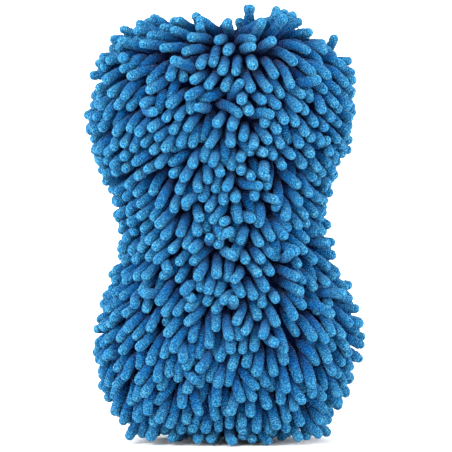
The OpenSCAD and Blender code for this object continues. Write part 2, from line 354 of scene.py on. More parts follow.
def foam_material():
    """Cream closed-cell foam with fine pores."""
    m = Material("foam")
    pores = m.node("ShaderNodeTexVoronoi", Scale=900)
    m.link(m.node("ShaderNodeTexCoord").outputs["Object"], pores.inputs["Vector"])
    # Painted shade in the pores, darker towards the middle of each cell
    m.colour(m.ramp(pores.outputs["Distance"], [(0.1, srgb(188, 172, 120)), (0.5, srgb(236, 226, 182))]))
    m.set(Roughness=0.9, Specular_IOR_Level=0.2)
    m.bump(pores.outputs["Distance"], 0.7, 0.3 * MM)
    return m.mat


def place(obj, material, slot, *nodes, body="mitt"):
    """Gives a piece its material and body, and hides the CAD nodes that it stands for. slot is not used."""
    obj.data.materials.append(material)
    if body:
        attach(obj, body)
    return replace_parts(obj, *nodes) if nodes else obj


# ---------------------------------------------------------------- noodles


def islands(count, edges):
    """A label for each vertex, the same for all that the edges join."""
    label = np.arange(count)
    while True:
        low = np.minimum(label[edges[:, 0]], label[edges[:, 1]])
        lower = label.copy()
        np.minimum.at(lower, edges[:, 0], low)
        np.minimum.at(lower, edges[:, 1], low)
        lower = lower[lower]
        if (lower == label).all():
            return label
        label = lower


def solids_of(node):
    """The points of each separate solid of a CAD node."""
    co = vertices_of(NODES[node])
    where, welded = np.unique(np.round(co / (WELD_MM * MM)).astype(np.int64), axis=0, return_inverse=True)
    edges = np.empty(len(NODES[node].data.edges) * 2, np.int64)
    NODES[node].data.edges.foreach_get("vertices", edges)
    label = islands(len(where), welded.reshape(-1)[edges].reshape(-1, 2))
    points = where * WELD_MM * MM
    return [points[label == key] for key in np.unique(label)]


def stems(node):
    """Root and tip of every noodle in a CAD row. A noodle's root end is flat and its tip is a dome."""
    near_end = 0.1 * MM
    ends = []
    for p in solids_of(node):
        centre = p.mean(0)
        axis = np.linalg.svd(p - centre, full_matrices=False)[2][0]
        t = (p - centre) @ axis
        off = np.linalg.norm(p - centre - np.outer(t, axis), axis=1)
        low, high = centre + axis * t.min(), centre + axis * t.max()
        flat_low = off[t < t.min() + near_end].max() > off[t > t.max() - near_end].max()
        ends.append((low, high) if flat_low else (high, low))
    return np.array(ends)


def near_pairs(points, reach):
    """Pairs of points that are closer than reach, each once."""
    cell = np.floor(points / reach).astype(np.int64)
    cell -= cell.min(0) - 1
    dims = cell.max(0) + 2
    key = (cell[:, 0] * dims[1] + cell[:, 1]) * dims[2] + cell[:, 2]
    order = np.argsort(key, kind="stable")
    ranked = key[order]
    found = []
    for step in ((x, y, z) for x in (-1, 0, 1) for y in (-1, 0, 1) for z in (-1, 0, 1)):
        if step < (0, 0, 0):
            continue
        other = key + (step[0] * dims[1] + step[1]) * dims[2] + step[2]
        start = np.searchsorted(ranked, other, "left")
        count = np.searchsorted(ranked, other, "right") - start
        a = np.repeat(np.arange(len(points)), count)
        within = np.arange(count.sum()) - np.repeat(np.cumsum(count) - count, count)
        b = order[np.repeat(start, count) + within]
        keep = (a < b) if step == (0, 0, 0) else np.ones(len(a), bool)
        found.append(np.stack([a[keep], b[keep]], 1))
    pairs = np.concatenate(found)
    close = np.linalg.norm(points[pairs[:, 0]] - points[pairs[:, 1]], axis=1) < reach
    return pairs[close]


def wandering(x, z, rng, size):
    """A smooth random field over the front of the mitt, near 0 to 1 either way, that changes over about size mm."""
    field, waves = 0, 7
    for turn, phase in zip(rng.uniform(0, math.pi, waves), rng.uniform(0, 2 * math.pi, waves)):
        field = field + np.sin((x * math.cos(turn) + z * math.sin(turn)) * 2 * math.pi / size + phase)
    return field / math.sqrt(waves)


def comb(roots, ways, rng):
    """The way the pile lies at each root: out from a wandering middle line and down, weaker at four partings."""
    x, y, z = (roots / MM).T
    front = np.clip(-ways[:, 1], 0, 1)
    back = np.clip(ways[:, 1], 0, 1)
    top = np.clip(ways[:, 2], 0, 1)

    # Out to either side, though not at the back of the top, where the pile stands
    middle = np.interp(z, (20, 80, 118, 180, 220), (0, 12, 0, 9, 6))
    side = np.tanh((x - middle) / np.interp(z, (50, 130, 220), (60, 44, 20)))
    side *= np.interp(z, (40, 130, 190, 225), (1.3, 1.0, 1.0, 1.6))
    side *= 1 - 0.85 * top * np.exp(-(((x - 3) / 16) ** 2)) * smooth((y - 4) / 10)

    # Down, more so near the foot and on the right
    down = np.interp(z, (20, 60, 84, 110, 150, 190, 210, 228), (2.8, 2.4, 1.4, 1.3, 1.35, 1.5, 1.45, 0.85))
    right = np.interp(z, (50, 72, 105, 122, 140, 185, 205, 225), (1.0, 0.6, 0.6, 1.0, 1.7, 1.7, 1.5, 2.4))
    down *= (1 + (right - 1) * smooth(x / 40)) * (1 + 0.25 * smooth((z - 192) / 14) * front)
    down *= 1 - 0.4 * smooth((-x - 2) / 10) * smooth((z - 206) / 10)

    # Forward over the top
    forward = 0.4 * smooth((21 - y) / 8) + 0.9 * np.exp(-(((x - 4) / 15) ** 2)) * smooth((6 - y) / 14)
    forward *= top

    # Partings, as x, z and size
    calm = np.ones(len(x))
    for px, pz, size in ((14, 86, 12), (9, 183, 6), (0, 117, 8), (12, 150, 7)):
        calm -= 0.85 * np.exp(-((x - px) ** 2 + (z - pz) ** 2) / (2 * size * size))

    lie = np.stack([side * (0.35 + 0.65 * front + 0.55 * top), -forward, -down * (0.6 + 0.4 * front)], 1)
    lie *= np.clip(calm, 0.1, 1)[:, None]
    lie[:, 0] += 0.34 * wandering(x, z, rng, 27)
    lie[:, 2] += 0.34 * wandering(x, z, rng, 25)
    lie[:, 0] += 0.7 * np.exp(-(((x - 7) / 6) ** 2)) * smooth((top - 0.6) / 0.3)
    lie[:, 1] -= 0.45 * back
    stray = np.exp(-((x - 20) ** 2 + (z - 217) ** 2) / (2 * 4.2 * 4.2))
    return lie + stray[:, None] * np.array([0.7, 0.0, 2.4])


def trim(roots):
    """Share of its full length that each noodle has, which rounds off the pile's outline as it is worn."""
    x, z = roots[:, 0] / MM, roots[:, 2] / MM
    out = np.abs(x)
    lower_corners = np.where(x > 0, 0.18, 0.3) * smooth((out - 12) / 30) * smooth((32 - z) / 20)
    lowest_corners = 0.5 * smooth((out - 15) / 20) * smooth((28 - z) / 14)
    lower_middle = 0.15 * smooth((z - 22) / 14) * smooth((100 - z) / 30) * smooth((50 - out) / 14)
    lower_left = 0.14 * smooth((-x - 25) / 20) * np.exp(-(((z - 63) / 14) ** 2))
    shoulders = 0.2 * smooth((out - 4) / 22) * smooth((z - 185) / 30)
    share = (1 - lower_corners) * (1 - lowest_corners) * (1 + lower_middle) * (1 - lower_left) * (1 + shoulders)
    right = np.interp(z, (60, 75, 95, 115, 130, 190, 205), (1.0, 1.2, 1.2, 1.0, 0.8, 0.8, 1.0))
    return share * (1 + (right - 1) * smooth((x - 25) / 20))


def rest_directions(roots, ways, rng):
    """Directions of each noodle's links when nothing touches it, from its root to its tip."""
    n = len(roots)
    lie = comb(roots, ways, rng) * rng.uniform(0.8, 1.35, (n, 1)) + rng.normal(0, 0.36, (n, 3))
    share = np.linspace(0, 1, NOODLE_LINKS)
    early = np.interp(roots[:, 2] / MM, (45, 105), (0.55, 0.9))
    lean = 1.55 * smooth(share[None, :] / early[:, None])
    dirs = unit(ways[:, None] + lie[:, None] * lean[..., None])
    curled = rng.random(n) < CURLED_SHARE
    turn = np.where(curled, rng.uniform(1.6, 3.0, n), rng.normal(0, 0.22, n))
    axis = unit(np.cross(ways, rng.normal(0, 1, (n, 3))))
    angle = turn[:, None] * share[None, :] ** 1.5
    c, s = np.cos(angle)[..., None], np.sin(angle)[..., None]
    k = axis[:, None, :]
    return dirs * c + np.cross(k, dirs) * s + k * (dirs * k).sum(-1, keepdims=True) * (1 - c)


def follow(p, link):
    """Keeps every link at its length, from the root out."""
    for k in range(NOODLE_LINKS):
        p[:, k + 1] = p[:, k] + unit(p[:, k + 1] - p[:, k]) * link[:, None]


def settle(roots, ways, lengths, skin, rng):
    """Noodles as chains that lie as they are combed, push each other away and stay off the cushion and the floor."""
    link = lengths / NOODLE_LINKS
    dirs = rest_directions(roots, ways, rng)
    p = np.concatenate([roots[:, None], roots[:, None] + np.cumsum(dirs * link[:, None, None], 1)], 1)
    rim = edge_of("seam_binding")
    free = np.ones(NOODLE_LINKS + 1)
    free[:2] = 0
    owner = np.repeat(np.arange(len(roots)), NOODLE_LINKS + 1)
    weight = np.tile(free, len(roots))
    touch, near, look = 1.96 * NOODLE_R, 2.8 * NOODLE_R, 2.9 * NOODLE_R
    floor = 1.12 * NOODLE_R
    for step in range(SETTLE_STEPS):
        flat = p.reshape(-1, 3)
        if step % NEIGHBOUR_STEPS == 0:
            pairs = near_pairs(flat, look)
            pairs = pairs[owner[pairs[:, 0]] != owner[pairs[:, 1]]]
            a, b = pairs.T
            total = weight[a] + weight[b]
            wa, wb = weight[a] / np.maximum(total, 1), weight[b] / np.maximum(total, 1)
        gap = flat[a] - flat[b]
        far = np.linalg.norm(gap, axis=1)
        push = np.clip(touch - far, 0, None) * 0.45 + np.clip(near - far, 0, None) * 0.05
        shift = gap / np.maximum(far, 1e-9)[:, None] * push[:, None]
        for i in range(3):
            flat[:, i] += np.bincount(a, shift[:, i] * wa, len(flat)) - np.bincount(b, shift[:, i] * wb, len(flat))
        p[:, 1:-1] += 0.25 * free[1:-1, None] * ((p[:, :-2] + p[:, 2:]) / 2 - p[:, 1:-1])
        spring = 0.1 if step < SETTLE_STEPS - SOFT_STEPS else 0.02
        now = unit(np.diff(p, axis=1))
        turned = unit(now + spring * (dirs - now))
        aim = p[:, :1] + np.cumsum(turned * link[:, None, None], 1)
        p[:, 2:] += 0.5 * (aim - p[:, 1:])[:, 1:]
        if step % CUSHION_STEPS == CUSHION_STEPS - 1:
            keep_out(p, skin)
        clear_back(p, rim)
        p[..., 2] = np.maximum(p[..., 2], floor * (free > 0))
        follow(p, link)
    return p


def keep_out(p, skin):
    """Moves points that have sunk into the cushion back to its surface."""
    for chain in p:
        for k in range(3, NOODLE_LINKS + 1):
            at, normal, _, _ = skin.find_nearest(Vector(chain[k]), 8 * MM)
            if at is None:
                continue
            height = (Vector(chain[k]) - at).dot(normal)
            if height < NOODLE_R:
                chain[k] += np.array(normal) * (NOODLE_R - height)


def clear_back(p, rim):
    """Moves points that have come round onto the back panel out past its binding, and clear of the label's swing."""
    label_lo, label_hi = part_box("care_label")
    swing_height, spare = 14 * MM, 0.4 * MM
    near_label = p[:, 2:, 2] > label_hi.z - swing_height
    clear = np.minimum(p[:, 2:, 1], label_lo.y - NOODLE_R - spare)
    p[:, 2:, 1] = np.where(near_label, clear, p[:, 2:, 1])
    x, z = p[..., 0], p[..., 2] - middle_height()
    far = np.hypot(x, z)
    limit = rim_at(rim, np.arctan2(z, x))
    over = (p[..., 1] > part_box("seam_binding")[0].y - 1.6 * NOODLE_R) & (far < limit + NOODLE_R)
    out = np.where(over, (limit + NOODLE_R) / np.maximum(far, 1e-6), 1)
    p[:, 2:, 0] *= out[:, 2:]
    p[:, 2:, 2] = middle_height() + z[:, 2:] * out[:, 2:]


def spline(p, count):
    """Points and directions along smooth curves through each chain."""
    before = 2 * p[:, :1] - p[:, 1:2]
    after = 2 * p[:, -1:] - p[:, -2:-1]
    q = np.concatenate([before, p, after], 1)
    t = np.linspace(0, NOODLE_LINKS, count)
    k = np.minimum(t.astype(int), NOODLE_LINKS - 1)
    f = (t - k)[None, :, None]
    a, b, c, d = q[:, k], q[:, k + 1], q[:, k + 2], q[:, k + 3]
    at = 0.5 * (2 * b + (c - a) * f + (2 * a - 5 * b + 4 * c - d) * f**2 + (3 * b - a - 3 * c + d) * f**3)
    way = 0.5 * ((c - a) + 2 * (2 * a - 5 * b + 4 * c - d) * f + 3 * (3 * b - a - 3 * c + d) * f**2)
    return at, unit(way)


def tubes(name, chains, rng):
    """One mesh of closed noodles: a stem that fills out from its root, with ribs, soft lumps and a domed tip."""
    n = len(chains)
    stem = NOODLE_RINGS - DOME_RINGS
    fine = 120
    line, way = spline(chains, fine + 1)
    length = np.linalg.norm(np.diff(line, axis=1), axis=2).sum(1)
    radius = NOODLE_R * rng.uniform(0.94, 1.05, n)
    tip_share = 1 - radius / length
    u = np.linspace(0, 1, stem)[None, :] * tip_share[:, None]
    arc = np.linspace(0, math.pi / 2, DOME_RINGS + 1)[1:]
    u = np.concatenate([u, tip_share[:, None] + (1 - tip_share)[:, None] * np.sin(arc)[None, :]], 1)
    profile = np.concatenate([np.ones(stem), np.cos(arc)])[None, :] * np.ones((n, 1))
    profile *= 0.78 + 0.22 * smooth(u / 0.45)
    profile *= 1 + 0.035 * np.sin(u * rng.uniform(5, 11, (n, 1)) + rng.uniform(0, 6.3, (n, 1)))
    profile[:, -1] = 0.03
    ring = np.arange(NOODLE_RINGS)
    ribs = RIB_DEPTH * np.where(ring % 2 == 0, 1, -1) * (ring < stem)
    radii = radius[:, None] * profile * (1 + ribs * rng.uniform(0.5, 1.2, (n, NOODLE_RINGS)))
    at_index = u * fine
    low = np.minimum(at_index.astype(int), fine - 1)
    f = (at_index - low)[..., None]
    rows = np.arange(n)[:, None]
    centre = line[rows, low] * (1 - f) + line[rows, low + 1] * f
    tangent = unit(way[rows, low] * (1 - f) + way[rows, low + 1] * f)
    lumps = 1 + LUMP_DEPTH * rng.normal(0, 0.6, (n, NOODLE_RINGS, NOODLE_SIDES)) * (1 - 0.6 * (ring >= stem))[:, None]
    tone = rng.random(n)[:, None] * np.ones((1, NOODLE_RINGS))
    along = u * length[:, None] / MM
    return sweep(name, centre, tangent, radii[..., None] * lumps, along, {"along": u, "tone": tone})


def sweep(name, centre, tangent, radii, along, attributes=None):
    """Closed tubes round n lines of k points. radii has a value for each line, point and side, and along has the
    distance in mm of each point from the start of its line."""
    n, k, sides = radii.shape
    side = np.empty_like(tangent)
    start = np.cross(tangent[:, 0], np.array([0.3, 0.5, 0.8]))
    for i in range(k):
        start = unit(start - tangent[:, i] * (start * tangent[:, i]).sum(-1, keepdims=True))
        side[:, i] = start
    other = np.cross(tangent, side)
    j = np.arange(sides)
    angle = j[None, :] * 2 * math.pi / sides + (np.arange(k) % 2)[:, None] * math.pi / sides
    c, s = np.cos(angle)[None, ..., None], np.sin(angle)[None, ..., None]
    wall = centre[:, :, None] + (side[:, :, None] * c + other[:, :, None] * s) * radii[..., None]
    points = np.concatenate([wall.reshape(n, k * sides, 3), centre[:, :1], centre[:, -1:]], 1)
    j2 = (j + 1) % sides
    first = np.arange(k - 1)[:, None] * sides
    quads = np.stack([first + j, first + j2, first + j2 + sides, first + j + sides], -1).reshape(-1, 4)
    last = (k - 1) * sides
    root_cap = np.stack([j2, j, np.full(sides, k * sides)], -1)
    tip_cap = np.stack([last + j, last + j2, np.full(sides, k * sides + 1)], -1)
    caps = np.concatenate([root_cap, tip_cap])
    base = (np.arange(n) * (k * sides + 2))[:, None, None]

    def spread(values):
        return np.concatenate([np.repeat(values, sides, 1), values[:, :1], values[:, -1:]], 1).ravel()

    around = np.concatenate([np.tile(j / sides * 4, (n, k)), np.zeros((n, 2))], 1)
    return mesh_from(
        name,
        points.reshape(-1, 3),
        (quads[None] + base).reshape(-1, 4),
        (caps[None] + base).reshape(-1, 3),
        {key: spread(values) for key, values in (attributes or {}).items()},
        np.stack([around.ravel(), spread(along)], -1),
    )


def chenille():
    """Every row of noodles, settled together and then made row by row."""
    rng = np.random.default_rng(SEED)
    rows = [n for n in frame["record"]["behaviour"]["bodies"]["mitt"] if "_noodle_row_" in n]
    ends = [stems(n) for n in rows]
    both = np.concatenate(ends)
    roots, tips = both[:, 0], both[:, 1]
    ways = unit(tips - roots)
    lengths = np.linalg.norm(tips - roots, axis=1) * rng.uniform(0.98, 1.14, len(roots)) * trim(roots)
    skin = tree_of("front_panel")
    chains = settle(roots, ways, lengths, skin, rng)
    material = chenille_material()
    start = 0
    for name, part in zip(rows, ends):
        obj = tubes(name.replace("noodle_row", "noodles"), chains[start : start + len(part)], rng)
        place(obj, material, "chenille", name)
        start += len(part)


# ---------------------------------------------------------------- covers and foam


def middle_height():
    """Height of the back panel's middle, which the outlines are measured from."""
    lo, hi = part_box("back_panel")
    return (lo.z + hi.z) / 2


def edge_of(node, beyond=None, count=720):
    """Distance of a node's rim from the middle of the back, at even angles.

    beyond is another rim and which side of it counts, True for outside."""
    co = vertices_of(NODES[node])
    x, z = co[:, 0], co[:, 2] - middle_height()
    angle, far = np.arctan2(z, x), np.hypot(x, z)
    if beyond is not None:
        rim, outside = beyond
        keep = (far > rim_at(rim, angle)) == outside
        angle, far = angle[keep], far[keep]
    order = np.argsort(angle)
    return np.interp(even_angles(count), angle[order], far[order], period=2 * math.pi)


def even_angles(count):
    """Angles all round the middle of the back."""
    return np.linspace(-math.pi, math.pi, count, endpoint=False)


def rim_at(rim, angle):
    """Distance of a rim at any angle."""
    return np.interp(angle, even_angles(len(rim)), rim, period=2 * math.pi)


def rim_points(rim):
    """The rim as points in x and z."""
    angle = even_angles(len(rim))
    return np.stack([rim * np.cos(angle), middle_height() + rim * np.sin(angle)], 1)


def finer(node, name, cuts, depth, waves):
    """A copy of a CAD shell with a finer mesh, whose surface undulates a little."""
    bm = bmesh.new()
    bm.from_mesh(NODES[node].data)
    bmesh.ops.remove_doubles(bm, verts=bm.verts, dist=0.001 * MM)
    bmesh.ops.subdivide_edges(bm, edges=bm.edges, cuts=cuts, use_grid_fill=True)
    bm.normal_update()
    for v in bm.verts:
        x, y, z = v.co / MM
        v.co += v.normal * depth * math.sin(x * waves + 1.3 * math.sin(z * waves)) * math.cos(z * waves + y)
    for face in bm.faces:
        face.smooth = True
    me = bpy.data.meshes.new(name)
    bm.to_mesh(me)
    bm.free()
    obj = bpy.data.objects.new(name, me)
    SCENE.collection.objects.link(obj)
    return obj


def foam_and_front():
    """The foam block, and the knitted ground that the noodles are sewn into."""
    foam = place(finer("foam_core", "foam_block", 1, 0.15 * MM, 0.4), foam_material(), "foam", "foam_core")
    cloth = finer("front_panel", "knitted_ground", 2, 0.2 * MM, 1.1)
    place(cloth, base_cloth_material(), "base_cloth", "front_panel")


def back_panel():
    """Waffle cloth stretched over the back, a little proud in the middle and pressed down by the strap's tabs."""
    lo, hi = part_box("back_panel")
    mid = middle_height()
    rim = rim_points(edge_of("back_panel"))
    columns, rows = 150, 270
    half_h = (hi.z - lo.z) / 2

    # A grid from rim to rim, with its rows closer together at both ends, and how far each point is from the rim
    z = mid + half_h * 0.9995 * np.sin(np.linspace(-1, 1, rows) * math.pi / 2 * 0.98) / math.sin(math.pi / 2 * 0.98)
    right = rim[rim[:, 0] >= 0]
    right = right[np.argsort(right[:, 1])]
    half_w = np.interp(z, right[:, 1], right[:, 0])
    x = np.linspace(-1, 1, columns)[None, :] * half_w[:, None]
    zz = np.repeat(z[:, None], columns, 1)
    inset = np.full(x.shape, np.inf)
    for px, pz in rim[::2]:
        inset = np.minimum(inset, np.hypot(x - px, zz - pz))

    # Pressed flat round the strap's tabs, woven in cells, puffed in the middle and puckered at the rim
    tab_lo, tab_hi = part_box("strap_tab_right")
    off_x = np.clip(np.maximum(tab_lo.x - np.abs(x), np.abs(x) - tab_hi.x), 0, None)
    off_z = np.clip(np.abs(zz - mid) - (tab_hi.z - tab_lo.z) / 2, 0, None)
    pressed = 1 - smooth(np.hypot(off_x, off_z) / (9 * MM))
    ridge_x = np.abs(np.cos(math.pi * x / WAFFLE_CELL)) ** 3
    ridge_z = np.abs(np.cos(math.pi * zz / WAFFLE_CELL)) ** 3
    raised = np.maximum(ridge_x, ridge_z)
    puff = 1.3 * MM * smooth(inset / (26 * MM)) * (1 - 0.9 * pressed)
    angle = np.arctan2(zz - mid, x)
    pucker = 0.22 * MM * np.exp(-inset / (7 * MM)) * np.sin(angle * 64 + 2 * np.sin(angle * 5))
    top = hi.y + puff + pucker + 0.5 * MM * raised * smooth(inset / (4 * MM)) - 0.25 * MM
    bottom = np.full(x.shape, lo.y)

    # Outer face, inner face and the wall between them
    points = np.concatenate([np.stack([x, top, zz], -1).reshape(-1, 3), np.stack([x, bottom, zz], -1).reshape(-1, 3)])
    grid = np.arange(rows * columns).reshape(rows, columns)
    a, b, c, d = grid[:-1, :-1], grid[:-1, 1:], grid[1:, 1:], grid[1:, :-1]
    outer = np.stack([a, d, c, b], -1).reshape(-1, 4)
    below = rows * columns
    inner = np.stack([a, b, c, d], -1).reshape(-1, 4) + below
    edge = np.concatenate([grid[0, :], grid[1:, -1], grid[-1, -2::-1], grid[-2:0:-1, 0]])
    following = np.roll(edge, -1)
    walls = np.stack([edge, following, following + below, edge + below], -1)
    shade = np.concatenate([raised.ravel(), np.zeros(below)])
    obj = mesh_from("waffle_back", points, np.concatenate([outer, inner, walls]), (), {"raised": shade},
                    np.tile(np.stack([x, zz], -1).reshape(-1, 2) / MM, (2, 1)))
    place(obj, back_cloth_material(), "back_cloth", "back_panel")


# ---------------------------------------------------------------- binding and thread


def seam_binding():
    """Ribbed binding tape all round the back, with a groove that is deeper at every stitch."""
    lo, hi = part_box("seam_binding")
    between = edge_of("back_panel")
    outer = edge_of("seam_binding", (between, True), BINDING_POINTS)
    inner = edge_of("seam_binding", (between, False), BINDING_POINTS)
    angle = even_angles(BINDING_POINTS)
    far = (outer + inner) / 2
    step = np.hypot(far * (angle[1] - angle[0]), np.gradient(far))
    along = np.cumsum(step)
    stitches = len(stitch_lines("seam_thread"))
    pull = 0.5 + 0.5 * np.cos(along / along[-1] * stitches * 2 * math.pi)

    # Crowned across its width, ribbed along its length, with a groove under the stitches
    t = np.linspace(-1, 1, 13)
    width = (outer - inner)[:, None] / 2 * (1 + 0.035 * np.sin(along / (9 * MM))[:, None])
    crown = np.sqrt(1 - np.abs(t) ** 5) * 0.97
    ribs = 0.06 * MM * np.cos(along * 2 * math.pi / (1.15 * MM))[:, None]
    groove = np.exp(-((t / 0.28) ** 2)) * (0.22 + 0.24 * pull[:, None]) * MM
    height = lo.y + (hi.y - lo.y) * crown[None, :] + ribs * (np.abs(t) < 0.97) - groove
    across = far[:, None] + t[None, :] * width

    # A closed section at each angle: the top, and two points underneath
    mid = middle_height()
    c, s = np.cos(angle)[:, None], np.sin(angle)[:, None]
    top = np.stack([across * c, height, mid + across * s], -1)
    low_t = np.array([0.9, -0.9])
    low = far[:, None] + low_t[None, :] * width
    base = np.stack([low * c, np.full(low.shape, lo.y), mid + low * s], -1)
    ring = np.concatenate([top, base], 1)
    n, k = ring.shape[:2]
    index = np.arange(n * k).reshape(n, k)
    after, beside = np.roll(index, -1, 0), np.roll(index, -1, 1)
    quads = np.stack([index, beside, np.roll(after, -1, 1), after], -1).reshape(-1, 4)
    uv = np.stack([np.repeat(along[:, None], k, 1), np.tile(np.append(t, low_t) * 3 * MM, (n, 1))], -1) / MM
    obj = mesh_from("binding_tape", ring.reshape(-1, 3), quads, (), None, uv.reshape(-1, 2))
    material = woven_material("binding_tape", srgb(6, 24, 52), srgb(34, 74, 124), 0.7, 0.06)
    place(obj, material, "binding_tape", "seam_binding")


def stitch_lines(node):
    """Middle, direction and length of each separate stitch of a CAD node."""
    found = []
    for p in solids_of(node):
        centre = (p.min(0) + p.max(0)) / 2
        axis = np.linalg.svd(p - p.mean(0), full_matrices=False)[2][0]
        found.append((centre, axis, np.ptp((p - centre) @ axis)))
    return found


def strands(name, lines, radius, sides=7):
    """Thin closed tubes along lines of the same number of points."""
    lines = np.asarray(lines)
    tangent = unit(np.gradient(lines, axis=1))
    k = lines.shape[1]
    ends = np.minimum(np.arange(k), np.arange(k)[::-1])
    taper = np.where(ends == 0, 0.45, 1.0)
    radii = radius * taper[None, :, None] * np.ones((len(lines), 1, sides))
    along = np.cumsum(np.linalg.norm(np.gradient(lines, axis=1), axis=2), 1) / MM
    return sweep(name, lines, tangent, radii, along)


def seam_stitches(material):
    """Lock stitches of two-ply thread that sink into the tape at both ends."""
    lines = []
    u = np.linspace(-1, 1, 17)
    for centre, axis, length in stitch_lines("seam_thread"):
        across = unit(np.cross(axis, (0, 1, 0)))
        for ply in (0, math.pi):
            turn = u * 4.2 + ply
            rise = 0.16 * MM - 0.85 * MM * u**4
            line = centre + u[:, None] * axis * length * 0.56
            line = line + across * (np.cos(turn) * 0.2 * MM)[:, None]
            line[:, 1] += rise + np.sin(turn) * 0.2 * MM - 0.25 * MM
            lines.append(line)
    place(strands("lock_stitches", lines, 0.25 * MM), material, "thread", "seam_thread")


def bar_tacks(side, material):
    """Two dense zigzags of thread over a strap tab, along the lines of its tacks."""
    node = f"strap_tack_{side}"
    places = np.array([centre for centre, _, _ in stitch_lines(node)])
    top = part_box(f"strap_tab_{side}")[1].y
    zigs, per_zig = 50, 6
    t = np.linspace(0, 1, zigs * per_zig + 1)
    swing = np.sin(t * zigs * math.pi)
    lines = []
    for x in (places[:, 0].min(), places[:, 0].max()):
        line = np.stack([x + 0.95 * MM * swing, top + 0.12 * MM - 0.4 * MM * swing**4, 0 * t], -1)
        line[:, 2] = places[:, 2].min() - 1.5 * MM + (np.ptp(places[:, 2]) + 3 * MM) * t
        lines.append(line)
    place(strands(f"bar_tacks_{side}", lines, 0.26 * MM, 6), material, "thread", node)


# ---------------------------------------------------------------- tapes: strap, loop and label


def ribbon(name, line, across, width, thick, columns, relief=None, ends=(0, 0), warp=None):
    """A closed tape along a line. relief gives how far its face stands out at (distance along, distance across).

    ends gives the radius in which the thickness is rounded off at the start and at the end, and warp moves the
    finished points."""
    line, across = np.asarray(line), np.asarray(across, float)
    gaps = np.linalg.norm(np.diff(line, axis=0), axis=1)
    along = np.concatenate([[0], np.cumsum(gaps)])
    normal = unit(np.cross(across, unit(np.gradient(line, axis=0))))
    t = np.sin(np.linspace(-1, 1, columns) * math.pi / 2 * 0.94) / math.sin(math.pi / 2 * 0.94)
    t = 0.5 * t + 0.5 * np.linspace(-1, 1, columns)
    edge = np.sqrt(np.clip(1 - np.abs(t) ** 14, 0, 1)) * 0.8 + 0.2
    cap = np.ones(len(line))
    for radius, far in zip(ends, (along, along[-1] - along)):
        if radius:
            cap *= np.sqrt(np.clip(1 - (1 - np.clip(far / radius, 0.05, 1)) ** 2, 0.02, 1))
    half = thick / 2 * edge[None, :] * cap[:, None]
    wide = np.broadcast_to(width, len(line))
    w = t[None, :] * wide[:, None] / 2
    out = 0 if relief is None else relief(along[:, None], w) * cap[:, None] * (edge > 0.7)
    place_at = line[:, None] + across * w[..., None]
    top = place_at + normal[:, None] * (half + out)[..., None]
    under = place_at - normal[:, None] * (half + out)[..., None]
    ring = np.concatenate([top, under[:, ::-1]], 1)
    ring = warp(ring) if warp else ring
    n, k = ring.shape[:2]
    index = np.arange(n * k).reshape(n, k)
    beside = np.roll(index, -1, 1)
    quads = np.stack([index[:-1], index[1:], beside[1:], beside[:-1]], -1).reshape(-1, 4)
    j = np.arange(columns - 1)
    first = np.stack([j, j + 1, k - 2 - j, k - 1 - j], -1)
    last = first[:, ::-1] + (n - 1) * k
    one = np.stack([np.repeat(along[:, None], columns, 1), w], -1) / MM
    uv = np.concatenate([one, one[:, ::-1]], 1).reshape(-1, 2)
    return mesh_from(name, ring.reshape(-1, 3), np.concatenate([quads, first, last]), (), None, uv)


def elastic_relief(along, across):
    """Rubber cords along the elastic, and the short gathers of the yarn between them."""
    cords = 0.17 * MM * np.cos(across * 2 * math.pi / ELASTIC_PITCH)
    row = np.round(across / ELASTIC_PITCH)
    gathers = 0.07 * MM * np.cos(along * 2 * math.pi / (1.5 * MM) + row * math.pi)
    return cords + gathers - 0.2 * MM


def tree_of(node):
    """A search tree of a CAD node's surface."""
    me = NODES[node].data
    return BVHTree.FromPolygons([v.co for v in me.vertices], [p.vertices for p in me.polygons])


def arch_line(count=161):
    """Middle line of the strap from the left tab to the right one, half way through its CAD arch."""
    lo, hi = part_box("hand_strap")
    tree, mid, clear = tree_of("hand_strap"), middle_height(), 5 * MM
    line = []
    for x in np.linspace(lo.x + 0.02 * MM, hi.x - 0.02 * MM, count):
        outside = tree.ray_cast(Vector((x, hi.y + clear, mid)), Vector((0, -1, 0)))[0].y
        inside = tree.ray_cast(Vector((x, lo.y - clear, mid)), Vector((0, 1, 0)))[0].y
        line.append((x, (outside + inside) / 2, mid))
    return evenly(line, 0.36 * MM)


def evenly(line, spacing):
    """The same line, with points at an even spacing."""
    line = np.asarray(line, float)
    along = np.concatenate([[0], np.cumsum(np.linalg.norm(np.diff(line, axis=0), axis=1))])
    at = np.linspace(0, along[-1], max(int(along[-1] / spacing), 2) + 1)
    return np.stack([np.interp(at, along, line[:, i]) for i in range(3)], 1)


def hand_strap(material):
    """Elastic strap in two halves, each running from its tab to the middle."""
    lo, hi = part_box("hand_strap")
    line = arch_line()
    wide, thick = hi.z - lo.z, 1.7 * MM
    overlap = np.array([0.8 * MM, 0, 0])
    for name, side, part in (("left", -1, line[line[:, 0] < 0]), ("right", 1, line[line[:, 0] > 0][::-1])):
        part = np.concatenate([[part[0] + side * overlap], part, [[0, part[-1, 1], part[-1, 2]]]])
        narrowed = 1.6 * MM * smooth((1 - np.abs(part[:, 0]) / hi.x) * 1.2)
        width, ends = wide - narrowed, (0.9 * MM, 0)
        obj = ribbon(f"strap_{name}", part, (0, 0, side), width, thick, ELASTIC_COLUMNS, elastic_relief, ends)
        place(obj, material, "elastic", "hand_strap", body=None)
        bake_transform(obj)
        strap_tab(name, side, material)


